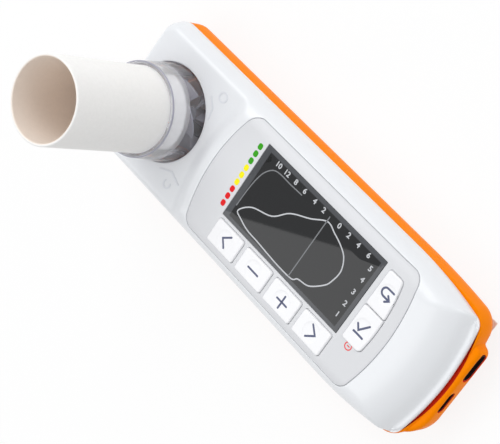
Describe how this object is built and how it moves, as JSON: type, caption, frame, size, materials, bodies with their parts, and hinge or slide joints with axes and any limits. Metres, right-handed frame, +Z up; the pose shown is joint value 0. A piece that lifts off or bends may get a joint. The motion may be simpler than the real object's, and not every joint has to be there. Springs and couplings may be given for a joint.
{
  "type": "spirometer",
  "caption": "Hand-held spirometer on its back: white and orange case with a screen and keys, a clear turbine at the head and a paper mouthpiece standing in it.",
  "frame": {"origin": "under the middle of the case, on the back face", "axes": "+X from the head with the turbine to the foot with the sockets, +Y across the case away from the row of side keys, +Z up from the back face along the mouthpiece"},
  "size_m": [0.1634, 0.0552, 0.0828],
  "materials": {
    "shell_white": "smooth white case",
    "shell_orange": "smooth orange case",
    "panel_grey": "fine satin grey",
    "window": "clear grey window",
    "lcd": "dark display glass",
    "frame_grey": "plain moulded",
    "key_white": "satin white key",
    "mat_rubber": "silicone rubber",
    "contact_metal": "plated spring steel",
    "board_green": "glass fibre board",
    "chip_black": "moulded chips",
    "socket_steel": "plated steel",
    "liner_grey": "plain moulded",
    "turbine_clear": "clear moulded",
    "bearing_brass": "turned brass",
    "shaft_steel": "ground steel",
    "vane_black": "thin black vane",
    "paper_white": "matte warm-white board",
    "cell_wrap": "plain sleeve",
    "screw_steel": "zinc plated"
  },
  "bodies": {
    "body": {"front_shell": "shell_white", "rear_shell": "shell_orange", "front_panel": "panel_grey", "display_window": "window", "lcd_panel": "lcd", "lcd_frame": "frame_grey", "key_mat": "mat_rubber", "dome_switches": "contact_metal", "main_board": "board_green", "board_chips": "chip_black", "buzzer": "chip_black", "radio_module": "socket_steel", "usb_socket": "socket_steel", "sensor_socket": "socket_steel", "turbine_socket": "liner_grey", "sensor_board": "board_green", "ir_emitters": "chip_black", "ir_detectors": "chip_black", "battery_tray": "frame_grey", "battery_cell_left": "cell_wrap", "battery_cell_right": "cell_wrap", "battery_springs": "contact_metal", "battery_contacts": "contact_metal", "battery_door": "shell_orange", "door_screw": "screw_steel", "case_screws": "screw_steel"},
    "turbine": {"turbine_body": "turbine_clear", "front_deflector": "turbine_clear", "rear_deflector": "turbine_clear", "front_bearing": "bearing_brass", "rear_bearing": "bearing_brass"},
    "rotor": {"rotor_shaft": "shaft_steel", "rotor_vane": "vane_black"},
    "tube": {"mouthpiece": "paper_white"},
    "key_back_body": {"key_back": "key_white"},
    "key_minus_body": {"key_minus": "key_white"},
    "key_plus_body": {"key_plus": "key_white"},
    "key_forward_body": {"key_forward": "key_white"},
    "key_escape_body": {"key_escape": "key_white"},
    "key_confirm_body": {"key_confirm": "key_white"}
  },
  "joints": [
    {"name": "turbine_turn", "type": "hinge", "parent": "body", "child": "turbine", "pos_m": [-0.06, 0, 0], "axis": [0, 0, 1], "range_deg": [0, 25]},
    {"name": "rotor_spin", "type": "hinge", "parent": "turbine", "child": "rotor", "pos_m": [-0.06, 0, 0], "axis": [0, 0, 1], "continuous": true},
    {"name": "mouthpiece_pull", "type": "slide", "parent": "turbine", "child": "tube", "axis": [0, 0, 1], "range_m": [0, 0.02]},
    {"name": "key_back_press", "type": "slide", "parent": "body", "child": "key_back_body", "axis": [0, 0, -1], "range_m": [0, 0.0006], "stiffness_N_per_m": 1000},
    {"name": "key_minus_press", "type": "slide", "parent": "body", "child": "key_minus_body", "axis": [0, 0, -1], "range_m": [0, 0.0006], "stiffness_N_per_m": 1000},
    {"name": "key_plus_press", "type": "slide", "parent": "body", "child": "key_plus_body", "axis": [0, 0, -1], "range_m": [0, 0.0006], "stiffness_N_per_m": 1000},
    {"name": "key_forward_press", "type": "slide", "parent": "body", "child": "key_forward_body", "axis": [0, 0, -1], "range_m": [0, 0.0006], "stiffness_N_per_m": 1000},
    {"name": "key_escape_press", "type": "slide", "parent": "body", "child": "key_escape_body", "axis": [0, 0, -1], "range_m": [0, 0.0006], "stiffness_N_per_m": 1000},
    {"name": "key_confirm_press", "type": "slide", "parent": "body", "child": "key_confirm_body", "axis": [0, 0, -1], "range_m": [0, 0.0006], "stiffness_N_per_m": 1000}
  ]
}
